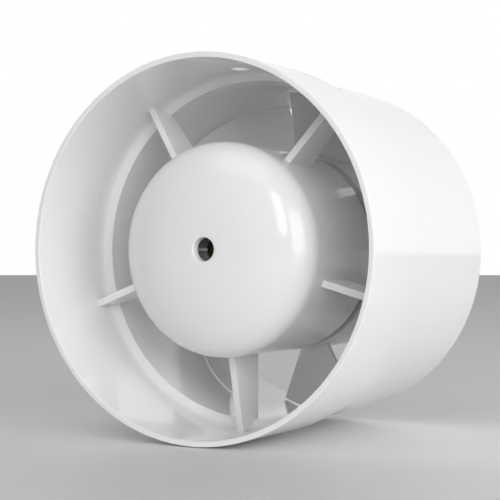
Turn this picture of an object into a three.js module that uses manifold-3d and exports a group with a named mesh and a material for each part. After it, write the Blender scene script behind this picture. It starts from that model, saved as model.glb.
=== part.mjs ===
// Inline axial extractor fan for a 100 mm duct. Millimetres, +Z up.
// The fan axis is Y. The domed motor housing faces -Y (the room side) and the impeller blows towards +Y.
// The origin is on the axis, half-way along the casing.
// Stations are distances along the axis, counted from the front rim; alongAxis() turns one into a Y value.

import * as THREE from 'three';
import { mergeVertices } from 'three/addons/utils/BufferGeometryUtils.js';
import Module from 'manifold-3d';

const wasm = await Module();
wasm.setup();

// Clearance kept between pieces that touch on the real fan.
const GAP = 0.3;

// Duct casing: a wide front section, a short taper and a slimmer spigot that a 100 mm duct slips over.
const CASING_LENGTH = 81.6;
const FRONT_RADIUS = 51.3;
const FRONT_LENGTH = 29.75;
const TAPER_LENGTH = 5.2;
const SPIGOT_RADIUS = 49.75;
const SPIGOT_END_RADIUS = 49.4;
const FRONT_BORE = 49.85;
const LEDGE_START = 27;
const LEDGE_SHOULDER = 29.7;
const LEDGE_STATION = 31.7;
const THROAT_RADIUS = 47.25;
const REAR_BORE = 46.95;
const CABLE_HOLE_RADIUS = 2.6;
const CABLE_HOLE_STATION = 25.1;

// Motor housing: a domed cup carried by five flat vanes.
const CUP_RADIUS = 29.1;
const CUP_FRONT = 5.1;
const CUP_SHOULDER = 15.4;
const CUP_REAR = 48.5;
const CUP_WALL = 1.5;
const CROWN_POWER = 2.4;
const CENTRE_HOLE_RADIUS = 3.15;
const CENTRE_BOSS_RADIUS = 5.5;
const CENTRE_BOSS_END = 7.7;
const SCREW_BOSS_RADIUS = 3.2;
const SCREW_BOSS_END = 17;
const SCREW_HOLE_END = 10.9;
const VANE_COUNT = 5;
const VANE_START_DEG = 270;
const VANE_THICKNESS = 1.95;
const VANE_FRONT_INNER = 19.9;
const VANE_FRONT_OUTER = 25.1;
const VANE_REAR = 33.7;

// Motor: a four-pole shaded-pole motor, centred on STACK_CENTRE.
const STACK_CENTRE = 31;
const STACK_LENGTH = 12;
const STACK_HALF_SIDE = 20.8;
const STACK_CORNER_RADIUS = 26.8;
const WINDOW_HALF_SIDE = 18.6;
const WINDOW_RADIUS = 20.9;
const POLE_COUNT = 4;
const POLE_WIDTH = 7;
const SHOE_INNER = 10.9;
const SHOE_OUTER = 12.7;
const SHOE_HALF_ANGLE_DEG = 33;
const ROTOR_RADIUS = 10.5;
const SHAFT_RADIUS = 2;
const SHAFT_FRONT = 16.2;
const SHAFT_REAR = 74;
const BOLT_CIRCLE = 23.6;
const BOLT_RADIUS = 1.5;
const BOLT_ANGLES_DEG = [45, 225];
const HOUSING_SCREW_ANGLES_DEG = [135, 315];

// Impeller: seven cambered blades on an open-fronted hub.
const HUB_RADIUS = 29.1;
const HUB_FRONT = 52.8;
const HUB_REAR = 78;
const HUB_WALL = 1.7;
const BOSS_RADIUS = 5;
const BLADE_COUNT = 7;
const BLADE_TIP_RADIUS = 46.5;
const BLADE_TIP_LEAD = 54.6;
const BLADE_LEAD_DEG = 90.3;
const BLADE_WRAP_DEG = 39.6;
const BLADE_THICKNESS = 1.3;

const alongAxis = (station) => station - CASING_LENGTH / 2;
const radians = THREE.MathUtils.degToRad;
const fan = new THREE.Group();

// ---- shape helpers ----

// A closed three.js geometry as a manifold solid.
function solid(geometry) {
  const bare = geometry.index ? geometry.clone() : mergeVertices(geometry.clone());
  bare.deleteAttribute('normal');
  bare.deleteAttribute('uv');
  const welded = mergeVertices(bare, 1e-4);
  const index = welded.index.array;
  const triangles = [];
  for (let i = 0; i < index.length; i += 3) {
    const [a, b, c] = index.slice(i, i + 3);
    if (a !== b && b !== c && c !== a) triangles.push(a, b, c);
  }
  const vertProperties = new Float32Array(welded.attributes.position.array);
  const triVerts = new Uint32Array(triangles);
  return new wasm.Manifold(new wasm.Mesh({ numProp: 3, vertProperties, triVerts }));
}

function toGeometry(manifold) {
  const mesh = manifold.getMesh();
  const geometry = new THREE.BufferGeometry();
  geometry.setAttribute('position', new THREE.BufferAttribute(new Float32Array(mesh.vertProperties), 3));
  geometry.setIndex(new THREE.BufferAttribute(new Uint32Array(mesh.triVerts), 1));
  geometry.computeVertexNormals();
  return geometry;
}

const union = (first, ...rest) => rest.reduce((sum, piece) => sum.add(piece), first);
const cut = (first, ...rest) => rest.reduce((left, piece) => left.subtract(piece), first);

// Revolves an outline of [radius, station] points about the fan axis.
function revolve(outline, segments) {
  const points = outline.map(([radius, station]) => new THREE.Vector2(radius, alongAxis(station)));
  return solid(new THREE.LatheGeometry(points, segments));
}

// A ring of rectangular section.
function ring(inner, outer, from, to, segments = 24) {
  return revolve([[outer, from], [outer, to], [inner, to], [inner, from], [outer, from]], segments);
}

// A round bar on the fan axis, or beside it at [x, z].
function bar(radius, from, to, segments = 20, [x, z] = [0, 0]) {
  const cylinder = new THREE.CylinderGeometry(radius, radius, to - from, segments);
  cylinder.translate(x, alongAxis((from + to) / 2), z);
  return solid(cylinder);
}

// A block from its centre [x, station, z] and its full sizes.
function block([x, station, z], [width, length, height]) {
  const box = new THREE.BoxGeometry(width, length, height);
  box.translate(x, alongAxis(station), z);
  return solid(box);
}

// A flat outline in the X-Z plane, given as a Shape, extruded along the axis.
function plate(shape, from, to, curveSegments = 12) {
  const slab = new THREE.ExtrudeGeometry(shape, { depth: to - from, bevelEnabled: false, curveSegments });
  slab.rotateX(Math.PI / 2);
  slab.translate(0, alongAxis(to), 0);
  return solid(slab);
}

// Turns a solid about the fan axis, from +X towards +Z.
const turned = (piece, degrees) => piece.rotate([0, -degrees, 0]);

function onCircle(radius, degrees) {
  const angle = radians(degrees);
  return [radius * Math.cos(angle), radius * Math.sin(angle)];
}

function addPiece(name, piece, color, roughness, metalness) {
  const material = new THREE.MeshStandardMaterial({ color, roughness, metalness });
  const mesh = new THREE.Mesh(toGeometry(piece), material);
  mesh.name = name;
  fan.add(mesh);
}

const WHITE_ABS = [0xf2f2f0, 0.35, 0];
const STEEL = [0xb9bcc0, 0.35, 1];
const ZINC_CASTING = [0x9a9da1, 0.5, 0.9];
const LAMINATION = [0x6d7075, 0.45, 0.9];
const ALUMINIUM = [0xc4c7cb, 0.4, 1];
const COPPER = [0xb4633a, 0.35, 1];
const BRONZE = [0x9c7a45, 0.5, 0.9];
const BLACK_RUBBER = [0x1c1c1c, 0.8, 0];
const GREY_FELT = [0x8d8778, 0.95, 0];
const NATURAL_NYLON = [0xe9e4d4, 0.5, 0];

// ---- casing ----

// The moulded ledge between the front bore and the throat: a fillet, then a short cone. The clearance
// shifts it inwards.
function ledgeLine(clearance) {
  const bore = FRONT_BORE - clearance;
  const start = new THREE.Vector2(bore, LEDGE_START - clearance);
  const corner = new THREE.Vector2(bore, LEDGE_SHOULDER - 0.3 - clearance);
  const end = new THREE.Vector2(bore - 0.35, LEDGE_SHOULDER - clearance);
  const fillet = new THREE.QuadraticBezierCurve(start, corner, end).getPoints(4).map((p) => [p.x, p.y]);
  return [...fillet, [THROAT_RADIUS - clearance, LEDGE_STATION - clearance]];
}

function ductCasing() {
  const ledge = ledgeLine(0).reverse();
  const tube = revolve([
    [FRONT_RADIUS, 0],
    [FRONT_RADIUS, FRONT_LENGTH],
    [SPIGOT_RADIUS, FRONT_LENGTH + TAPER_LENGTH],
    [SPIGOT_END_RADIUS, CASING_LENGTH],
    [REAR_BORE, CASING_LENGTH],
    ...ledge,
    [FRONT_BORE, 0],
    [FRONT_RADIUS, 0],
  ], 80);
  const drill = new THREE.CylinderGeometry(CABLE_HOLE_RADIUS, CABLE_HOLE_RADIUS, 6, 24);
  drill.rotateX(Math.PI / 2);
  drill.translate(0, alongAxis(CABLE_HOLE_STATION), FRONT_RADIUS);
  return cut(tube, solid(drill));
}

// ---- motor housing ----

// Quarter of a superellipse from the axis end of the crown out to the shoulder.
function crown(radius, front, fromRadius, steps) {
  const depth = CUP_SHOULDER - front;
  const start = Math.asin((fromRadius / radius) ** (CROWN_POWER / 2));
  const outline = [];
  for (let i = 0; i <= steps; i += 1) {
    const angle = start + (Math.PI / 2 - start) * (i / steps);
    const reach = Math.sin(angle) ** (2 / CROWN_POWER);
    const rise = Math.max(Math.cos(angle), 0) ** (2 / CROWN_POWER);
    outline.push([radius * reach, CUP_SHOULDER - depth * rise]);
  }
  return outline;
}

function vane() {
  const outline = [
    [CUP_RADIUS - CUP_WALL / 2, VANE_FRONT_INNER],
    [FRONT_BORE - GAP, VANE_FRONT_OUTER],
    ...ledgeLine(GAP),
    [THROAT_RADIUS - GAP, VANE_REAR],
    [CUP_RADIUS - CUP_WALL / 2, VANE_REAR],
  ];
  const corners = outline.map(([radius, station]) => new THREE.Vector2(radius, alongAxis(station)));
  const shape = new THREE.Shape(corners);
  const slab = new THREE.ExtrudeGeometry(shape, { depth: VANE_THICKNESS, bevelEnabled: false });
  slab.translate(0, 0, -VANE_THICKNESS / 2);
  return solid(slab);
}

// The two blind bosses inside the dome that the housing screws bite into, trimmed to the dome's skin.
function screwBosses() {
  const skin = revolve([
    [0, CUP_FRONT + 0.7],
    ...crown(CUP_RADIUS - 0.7, CUP_FRONT + 0.7, 0.2, 10),
    [CUP_RADIUS - 0.7, 20],
    [0, 20],
  ], 48);
  return HOUSING_SCREW_ANGLES_DEG.map((degrees) => {
    const boss = bar(SCREW_BOSS_RADIUS, 6, SCREW_BOSS_END, 20, onCircle(BOLT_CIRCLE, degrees));
    return boss.intersect(skin);
  });
}

function motorHousing() {
  const innerRadius = CUP_RADIUS - CUP_WALL;
  const innerCrown = crown(innerRadius, CUP_FRONT + CUP_WALL, CENTRE_BOSS_RADIUS, 5).reverse();
  const outerCrown = crown(CUP_RADIUS, CUP_FRONT, CENTRE_HOLE_RADIUS, 10);
  const cup = revolve([
    ...outerCrown,
    [CUP_RADIUS - 0.15, CUP_REAR],
    [innerRadius - 0.15, CUP_REAR],
    ...innerCrown,
    [CENTRE_BOSS_RADIUS, CENTRE_BOSS_END],
    [CENTRE_HOLE_RADIUS, CENTRE_BOSS_END],
    outerCrown[0],
  ], 60);
  const vanes = [];
  for (let i = 0; i < VANE_COUNT; i += 1) {
    vanes.push(turned(vane(), VANE_START_DEG + (i * 360) / VANE_COUNT));
  }
  const screwHoles = HOUSING_SCREW_ANGLES_DEG.map((degrees) => (
    bar(BOLT_RADIUS + GAP, SCREW_HOLE_END, SCREW_BOSS_END + 1, 12, onCircle(BOLT_CIRCLE, degrees))));
  const leadEntry = turned(solid(new THREE.CylinderGeometry(2.4, 2.4, 6, 20).rotateZ(Math.PI / 2)
    .translate(CUP_RADIUS, alongAxis(17.5), 0)), 108);
  return cut(union(cup, ...vanes, ...screwBosses()), leadEntry, ...screwHoles);
}

// A slotted cylinder-head screw or bolt parallel to the axis, its head behind the rear end shield.
function longFastener(degrees, tip) {
  const at = onCircle(BOLT_CIRCLE, degrees);
  const head = bar(2.7, 44.3, 46.3, 18, at);
  const shank = bar(BOLT_RADIUS, tip, 44.5, 12, at);
  const slot = block([at[0], 46.3, at[1]], [6, 1.4, 0.7]);
  return cut(union(head, shank), slot);
}

// ---- motor brackets ----

// Both brackets are drawn for the front end; the rear one is the mirror image about the stack centre.
const HOUSING_RADIUS = 8;
const HOUSING_FACE = 12.6;
const HOUSING_BACK = 22;
const POCKET_RADIUS = 6.7;
const POCKET_FLOOR = 17.8;
const ARM_FRONT = 18.5;
const ARM_REAR = 21;
const POST_RADIUS = 3;
const STACK_FRONT = STACK_CENTRE - STACK_LENGTH / 2;
const mirrored = (station) => 2 * STACK_CENTRE - station;

function frontBracket() {
  const housing = bar(HOUSING_RADIUS, HOUSING_FACE, HOUSING_BACK, 24);
  const arms = [0, 1, 2, 3].map((i) => {
    const middle = [BOLT_CIRCLE / 2, (ARM_FRONT + ARM_REAR) / 2, 0];
    const arm = block(middle, [BOLT_CIRCLE, ARM_REAR - ARM_FRONT, 5]);
    const post = bar(POST_RADIUS, ARM_FRONT, STACK_FRONT - GAP, 14, [BOLT_CIRCLE, 0]);
    const hole = bar(BOLT_RADIUS + GAP, ARM_FRONT - 1, STACK_FRONT + 1, 12, [BOLT_CIRCLE, 0]);
    return turned(cut(union(arm, post), hole), 45 + i * 90);
  });
  const pocket = bar(POCKET_RADIUS, HOUSING_FACE - 1, POCKET_FLOOR, 24);
  const shaftHole = bar(SHAFT_RADIUS + 0.6, HOUSING_FACE, HOUSING_BACK + 1, 20);
  return cut(union(housing, ...arms), pocket, shaftHole);
}

function rearBracket() {
  const shield = bar(26.9, 42.5, 44, 40);
  const housing = bar(HOUSING_RADIUS, mirrored(HOUSING_BACK), mirrored(HOUSING_FACE), 24);
  const posts = [0, 1, 2, 3].map((i) => {
    const at = onCircle(BOLT_CIRCLE, 45 + i * 90);
    return bar(POST_RADIUS, mirrored(STACK_FRONT - GAP), 43, 14, at);
  });
  const holes = [0, 1, 2, 3].map((i) => {
    const at = onCircle(BOLT_CIRCLE, 45 + i * 90);
    return bar(BOLT_RADIUS + GAP, mirrored(STACK_FRONT + 1), 46, 12, at);
  });
  const pocket = bar(POCKET_RADIUS, mirrored(POCKET_FLOOR), mirrored(HOUSING_FACE - 1), 24);
  const shaftHole = bar(SHAFT_RADIUS + 0.6, 38, 52, 20);
  return cut(union(shield, housing, ...posts), pocket, shaftHole, ...holes);
}

// A self-aligning sintered bush: a barrel with a slightly larger bore than the shaft.
function bearing(from, to) {
  const bore = SHAFT_RADIUS + GAP;
  const middle = (from + to) / 2;
  return revolve([
    [4.1, from],
    [4.65, (from + middle) / 2],
    [4.8, middle],
    [4.65, (middle + to) / 2],
    [4.1, to],
    [bore, to],
    [bore, from],
    [4.1, from],
  ], 20);
}

// A spring ring whose four fingers hold the felt washer and the bush in their pocket.
function bearingClip(from, to) {
  const body = ring(5.8, HOUSING_RADIUS - 0.4, from, to, 28);
  const finger = block([4.4, (from + to) / 2, 0], [3.2, to - from, 0.8]);
  const fingers = [0, 1, 2, 3].map((i) => turned(finger, i * 90));
  return union(body, ...fingers);
}

// ---- stator ----

function stackShape(halfSide, radius) {
  const shape = new THREE.Shape();
  const half = Math.acos(halfSide / radius);
  for (let side = 0; side < 4; side += 1) {
    const from = (side * Math.PI) / 2 + half;
    const to = ((side + 1) * Math.PI) / 2 - half;
    if (side === 0) shape.moveTo(radius * Math.cos(from), radius * Math.sin(from));
    shape.absarc(0, 0, radius, from, to, false);
  }
  shape.closePath();
  return shape;
}

function shoeShape() {
  const half = radians(SHOE_HALF_ANGLE_DEG);
  const shape = new THREE.Shape();
  shape.moveTo(SHOE_OUTER * Math.cos(-half), SHOE_OUTER * Math.sin(-half));
  shape.absarc(0, 0, SHOE_OUTER, -half, half, false);
  shape.absarc(0, 0, SHOE_INNER, half, -half, true);
  shape.closePath();
  return shape;
}

const STACK_REAR = STACK_CENTRE + STACK_LENGTH / 2;

function statorCore() {
  const outside = plate(stackShape(STACK_HALF_SIDE, STACK_CORNER_RADIUS), STACK_FRONT, STACK_REAR, 5);
  const window = plate(stackShape(WINDOW_HALF_SIDE, WINDOW_RADIUS), STACK_FRONT - 1, STACK_REAR + 1, 5);
  const poles = [];
  const notches = [];
  for (let i = 0; i < POLE_COUNT; i += 1) {
    const bore = SHOE_INNER + 0.6;
    const reach = WINDOW_HALF_SIDE + 1 - bore;
    const pole = block([bore + reach / 2, STACK_CENTRE, 0], [reach, STACK_LENGTH, POLE_WIDTH]);
    const shoe = plate(shoeShape(), STACK_FRONT, STACK_REAR, 5);
    poles.push(turned(union(pole, shoe), i * 90));
    const at = onCircle(BOLT_CIRCLE, 45 + i * 90);
    notches.push(bar(BOLT_RADIUS + GAP, STACK_FRONT - 1, STACK_REAR + 1, 12, at));
  }
  return cut(union(cut(outside, window), ...poles), ...notches);
}

// A rectangular sleeve round a pole, along its radius.
function sleeve(from, to, inner, outer) {
  const middle = (from + to) / 2;
  const size = (length, lining) => [length, STACK_LENGTH + 2 * lining, POLE_WIDTH + 2 * lining];
  const body = block([middle, STACK_CENTRE, 0], size(to - from, outer));
  const hole = block([middle, STACK_CENTRE, 0], size(to - from + 1, inner));
  return cut(body, hole);
}

function coilBobbin() {
  const flange = 3.6;
  return union(
    sleeve(13.1, 18.2, GAP, 1.1),
    sleeve(13.1, 13.8, GAP, flange),
    sleeve(17.5, 18.2, GAP, flange),
  );
}

const coilWinding = () => sleeve(14.1, 17.2, 1.1 + GAP, 3.4);

// A copper band that embraces one tip of a pole shoe at each end of the stack.
function shadingBand(station, direction) {
  const half = radians(SHOE_HALF_ANGLE_DEG - 2);
  const inner = radians(20);
  const shape = new THREE.Shape();
  shape.moveTo((SHOE_OUTER - 0.2) * Math.cos(inner), (SHOE_OUTER - 0.2) * Math.sin(inner));
  shape.absarc(0, 0, SHOE_OUTER - 0.2, inner, half, false);
  shape.absarc(0, 0, SHOE_INNER + 0.2, half, inner, true);
  shape.closePath();
  const near = station + direction * GAP;
  const far = station + direction * (GAP + 0.8);
  return plate(shape, Math.min(near, far), Math.max(near, far), 4);
}

// ---- rotor ----

function impellerHub() {
  const bore = SHAFT_RADIUS + GAP;
  const face = HUB_REAR - 1.8;
  const round = 1.5;
  const corner = [0, 1, 2].map((i) => {
    const angle = (i / 2) * (Math.PI / 2);
    return [HUB_RADIUS - round + round * Math.cos(angle), HUB_REAR - round + round * Math.sin(angle)];
  });
  return revolve([
    [0, SHAFT_REAR + 0.8],
    [bore, SHAFT_REAR + 0.8],
    [bore, HUB_FRONT + 0.7],
    [BOSS_RADIUS, HUB_FRONT + 0.7],
    [BOSS_RADIUS, face],
    [HUB_RADIUS - HUB_WALL, face],
    [HUB_RADIUS - HUB_WALL, HUB_FRONT],
    [HUB_RADIUS, HUB_FRONT],
    ...corner,
    [0, HUB_REAR],
  ], 56);
}

// One blade as a thin block bent onto its helix: across is the radius, along runs from the leading
// edge to the trailing edge, and the pitch steepens towards the trailing edge.
function blade() {
  const root = HUB_RADIUS - HUB_WALL / 2;
  const geometry = new THREE.BoxGeometry(1, 1, 1, 8, 1, 4);
  const position = geometry.attributes.position;
  const wrap = radians(BLADE_WRAP_DEG);
  for (let i = 0; i < position.count; i += 1) {
    const along = position.getX(i) + 0.5;
    const side = position.getY(i);
    const across = position.getZ(i) + 0.5;
    const radius = root + (BLADE_TIP_RADIUS - root) * across;
    const inward = BLADE_TIP_RADIUS - radius;
    const leadAngle = radians(BLADE_LEAD_DEG) - 0.0029 * inward;
    const tailAngle = radians(BLADE_LEAD_DEG) - wrap;
    const leadStation = BLADE_TIP_LEAD + 0.064 * inward;
    const tailStation = BLADE_TIP_LEAD + 18.2 + 0.228 * inward;
    const shapeAlong = 0.5 * along + 0.5 * along * along;
    const taper = 0.35 + 0.65 * Math.sin(Math.PI * Math.min(Math.max(along, 0.06), 0.94)) ** 0.7;
    const half = BLADE_THICKNESS * taper * side;
    const slope = ((tailStation - leadStation) * (0.5 + along)) / ((leadAngle - tailAngle) * radius);
    const lean = Math.atan(slope);
    const angle = leadAngle + (tailAngle - leadAngle) * along + (half * Math.sin(lean)) / radius;
    const station = leadStation + (tailStation - leadStation) * shapeAlong + half * Math.cos(lean);
    position.setXYZ(i, radius * Math.cos(angle), alongAxis(station), radius * Math.sin(angle));
  }
  return solid(geometry);
}

function impeller() {
  const blades = [];
  for (let i = 0; i < BLADE_COUNT; i += 1) {
    blades.push(turned(blade(), (i * 360) / BLADE_COUNT));
  }
  return union(impellerHub(), ...blades);
}

function shaft() {
  const flat = block([0, SHAFT_REAR - 7, SHAFT_RADIUS + 0.6], [6, 16, 2]);
  return cut(bar(SHAFT_RADIUS, SHAFT_FRONT, SHAFT_REAR, 24), flat);
}

const thrustWasher = (from, to) => ring(SHAFT_RADIUS + GAP, 4, from, to, 24);

function hubClip() {
  const gap = block([5.7, 55.2, 0], [3, 3, 2.4]);
  return cut(ring(BOSS_RADIUS + GAP, BOSS_RADIUS + 1.2, 54.5, 55.9, 24), gap);
}

// ---- wiring inside the housing ----

// An insulated wire of round section along a smooth path of [x, station, z] points.
function wire(points, radius, steps) {
  const places = points.map(([x, station, z]) => new THREE.Vector3(x, alongAxis(station), z));
  const extrudePath = new THREE.CatmullRomCurve3(places);
  const section = new THREE.Shape();
  section.absarc(0, 0, radius, 0, 2 * Math.PI, false);
  const options = { steps, extrudePath, curveSegments: 4, bevelEnabled: false };
  return solid(new THREE.ExtrudeGeometry(section, options));
}

// A jumper between two neighbouring coils, behind the stack.
function coilLink(degrees) {
  const path = [-18, -8, 8, 18].map((offset, i) => {
    const [x, z] = onCircle(15.6, degrees + offset);
    return [x, i === 0 || i === 3 ? 41.2 : 41.6, z];
  });
  return wire(path, 0.6, 8);
}

function terminalBlock() {
  const body = block([0, 14.6, 16.5], [15, 7, 7]);
  const entries = [-4, 4].map((x) => block([x, 18, 16.5], [3, 3, 3]));
  const wells = [-4, 4].map((x) => {
    const well = new THREE.CylinderGeometry(1.7, 1.7, 4, 20);
    well.rotateX(Math.PI / 2);
    well.translate(x, alongAxis(14), 19.5);
    return solid(well);
  });
  return cut(body, ...entries, ...wells);
}

function terminalScrew(x) {
  const head = new THREE.CylinderGeometry(1.4, 1.4, 1.6, 20);
  head.rotateX(Math.PI / 2);
  head.translate(x, alongAxis(14), 18.6);
  return cut(solid(head), block([x, 14, 19.4], [3, 0.5, 0.8]));
}

function thermalFuse() {
  const body = new THREE.CylinderGeometry(1.5, 1.5, 8, 16);
  body.rotateX(Math.PI / 2);
  body.translate(-15.6, alongAxis(19.5), 0);
  return solid(body);
}

// ---- assembly ----

addPiece('duct_casing', ductCasing(), ...WHITE_ABS);
addPiece('motor_housing', motorHousing(), ...WHITE_ABS);
addPiece('front_bracket', frontBracket(), ...ZINC_CASTING);
addPiece('rear_end_shield', rearBracket(), ...ZINC_CASTING);
addPiece('stator_core', statorCore(), ...LAMINATION);

for (let i = 0; i < POLE_COUNT; i += 1) {
  const degrees = i * 90;
  addPiece(`coil_bobbin_${i + 1}`, turned(coilBobbin(), degrees), ...NATURAL_NYLON);
  addPiece(`coil_winding_${i + 1}`, turned(coilWinding(), degrees), ...COPPER);
  addPiece(`shading_band_front_${i + 1}`, turned(shadingBand(STACK_FRONT, -1), degrees), ...COPPER);
  addPiece(`shading_band_rear_${i + 1}`, turned(shadingBand(STACK_REAR, 1), degrees), ...COPPER);
}

addPiece('front_bearing', bearing(14.3, 17.5), ...BRONZE);
addPiece('rear_bearing', bearing(mirrored(17.5), mirrored(14.3)), ...BRONZE);
addPiece('front_oil_felt', ring(3.6, POCKET_RADIUS - GAP, 12.7, 14), ...GREY_FELT);
addPiece('rear_oil_felt', ring(3.6, POCKET_RADIUS - GAP, mirrored(14), mirrored(12.7)), ...GREY_FELT);
addPiece('front_bearing_clip', bearingClip(11.9, 12.3), ...STEEL);
addPiece('rear_bearing_clip', bearingClip(mirrored(12.3), mirrored(11.9)), ...STEEL);

BOLT_ANGLES_DEG.forEach((degrees, i) => {
  const at = onCircle(BOLT_CIRCLE, degrees);
  addPiece(`motor_bolt_${i + 1}`, longFastener(degrees, 15.6), ...STEEL);
  const nut = cut(bar(3.1, 16, 18.2, 6, at), bar(BOLT_RADIUS + GAP, 15, 19, 12, at));
  addPiece(`motor_nut_${i + 1}`, nut, ...STEEL);
});

HOUSING_SCREW_ANGLES_DEG.forEach((degrees, i) => {
  const at = onCircle(BOLT_CIRCLE, degrees);
  const from = SCREW_BOSS_END + GAP;
  const to = ARM_FRONT - GAP;
  const washer = cut(bar(3.2, from, to, 20, at), bar(BOLT_RADIUS + GAP, from - 1, to + 1, 12, at));
  addPiece(`housing_screw_${i + 1}`, longFastener(degrees, SCREW_HOLE_END + GAP), ...STEEL);
  addPiece(`vibration_washer_${i + 1}`, washer, ...BLACK_RUBBER);
});

addPiece('terminal_block', terminalBlock(), ...NATURAL_NYLON);
addPiece('terminal_screw_live', terminalScrew(-4), ...STEEL);
addPiece('terminal_screw_neutral', terminalScrew(4), ...STEEL);
addPiece('thermal_fuse', thermalFuse(), ...NATURAL_NYLON);
[45, 135, 225].forEach((degrees, i) => addPiece(`coil_link_${i + 1}`, coilLink(degrees), ...COPPER));

addPiece('impeller', impeller(), ...WHITE_ABS);
addPiece('motor_shaft', shaft(), ...STEEL);
addPiece('rotor_core', ring(SHAFT_RADIUS + GAP, ROTOR_RADIUS, STACK_FRONT, STACK_REAR, 36), ...LAMINATION);
addPiece('rotor_end_ring_front', ring(4.5, 10.2, 23.3, STACK_FRONT - GAP, 28), ...ALUMINIUM);
addPiece('rotor_end_ring_rear', ring(4.5, 10.2, STACK_REAR + GAP, mirrored(23.3), 28), ...ALUMINIUM);
addPiece('thrust_washer_front', thrustWasher(22.3, 23), ...NATURAL_NYLON);
addPiece('thrust_washer_rear', thrustWasher(mirrored(23), mirrored(22.3)), ...NATURAL_NYLON);
addPiece('hub_clip', hubClip(), ...STEEL);

export default fan;
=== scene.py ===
import math

import bmesh
import bpy
from mathutils import Matrix, Vector


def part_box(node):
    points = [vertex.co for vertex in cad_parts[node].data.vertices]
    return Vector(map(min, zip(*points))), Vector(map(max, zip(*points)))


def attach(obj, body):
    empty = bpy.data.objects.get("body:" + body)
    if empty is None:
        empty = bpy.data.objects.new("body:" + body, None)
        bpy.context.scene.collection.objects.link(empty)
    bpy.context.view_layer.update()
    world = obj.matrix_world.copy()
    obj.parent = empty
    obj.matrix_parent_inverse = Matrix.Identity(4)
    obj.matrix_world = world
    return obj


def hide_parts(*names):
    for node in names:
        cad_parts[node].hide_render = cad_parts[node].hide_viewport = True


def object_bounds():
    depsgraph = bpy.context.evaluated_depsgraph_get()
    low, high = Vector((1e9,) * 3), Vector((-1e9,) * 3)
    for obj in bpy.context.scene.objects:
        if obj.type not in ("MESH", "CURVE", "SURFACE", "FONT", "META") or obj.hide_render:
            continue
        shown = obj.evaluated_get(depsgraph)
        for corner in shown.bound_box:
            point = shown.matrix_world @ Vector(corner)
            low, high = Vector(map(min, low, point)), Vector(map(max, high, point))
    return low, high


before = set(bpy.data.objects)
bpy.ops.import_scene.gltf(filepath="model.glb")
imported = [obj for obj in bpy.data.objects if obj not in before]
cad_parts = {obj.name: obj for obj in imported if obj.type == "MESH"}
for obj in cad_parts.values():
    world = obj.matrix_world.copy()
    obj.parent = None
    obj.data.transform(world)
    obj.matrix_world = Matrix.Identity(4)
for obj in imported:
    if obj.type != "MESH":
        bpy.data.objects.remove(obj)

cad_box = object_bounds()

# ---------------------------------------------------------------------------
# Camera
# Stands to the right of the mouth at the height of the axis, and looks along the
# tube so that the dome, the vanes and the side of the casing all show.

camera = bpy.data.objects.new("camera", bpy.data.cameras.new("camera"))
bpy.context.scene.collection.objects.link(camera)
camera.data.lens = 99.85
camera.data.sensor_width = 36.0
camera.data.clip_start = 0.01
camera.location = (0.18771, -0.34844, -0.00265)
camera.rotation_euler = (math.radians(90.39), 0.0, math.radians(29.03))
bpy.context.scene.camera = camera

# ---------------------------------------------------------------------------
# Duct casing
# The tube is one injection moulding in white ABS: a wide front section, a short
# taper, and a slimmer spigot that the duct is pushed over. Inside, a blended ledge
# steps down to the throat in which the impeller runs.

# Sizes are in millimetres. A station is measured back from the front rim along the axis.
MM = 0.001
TUBE_RADIUS = 51.3
TUBE_BORE = 49.85
TAPER_FRONT = 29.75
TAPER_REAR = 34.95
SPIGOT_RADIUS = 49.75
SPIGOT_END_RADIUS = 49.4
SPIGOT_END_BORE = 46.95
THROAT_RADIUS = 47.25
CABLE_HOLE_RADIUS = 2.6
CABLE_HOLE_STATION = 25.1
front_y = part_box("duct_casing")[0].y
rear_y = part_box("duct_casing")[1].y


class Flow:
    """A shader value: arithmetic on it adds the Math nodes."""

    def __init__(self, tree, socket):
        self.tree = tree
        self.socket = socket

    def _math(self, operation, first, second):
        node = self.tree.nodes.new("ShaderNodeMath")
        node.operation = operation
        for slot, value in zip(node.inputs, (first, second)):
            if isinstance(value, Flow):
                self.tree.links.new(value.socket, slot)
            else:
                slot.default_value = value
        return Flow(self.tree, node.outputs[0])

    def __add__(self, other):
        return self._math("ADD", self, other)

    __radd__ = __add__

    def __mul__(self, other):
        return self._math("MULTIPLY", self, other)

    __rmul__ = __mul__

    def clamped(self):
        """The value held between 0 and 1."""
        return self._math("MINIMUM", self._math("MAXIMUM", self, 0.0), 1.0)


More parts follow.
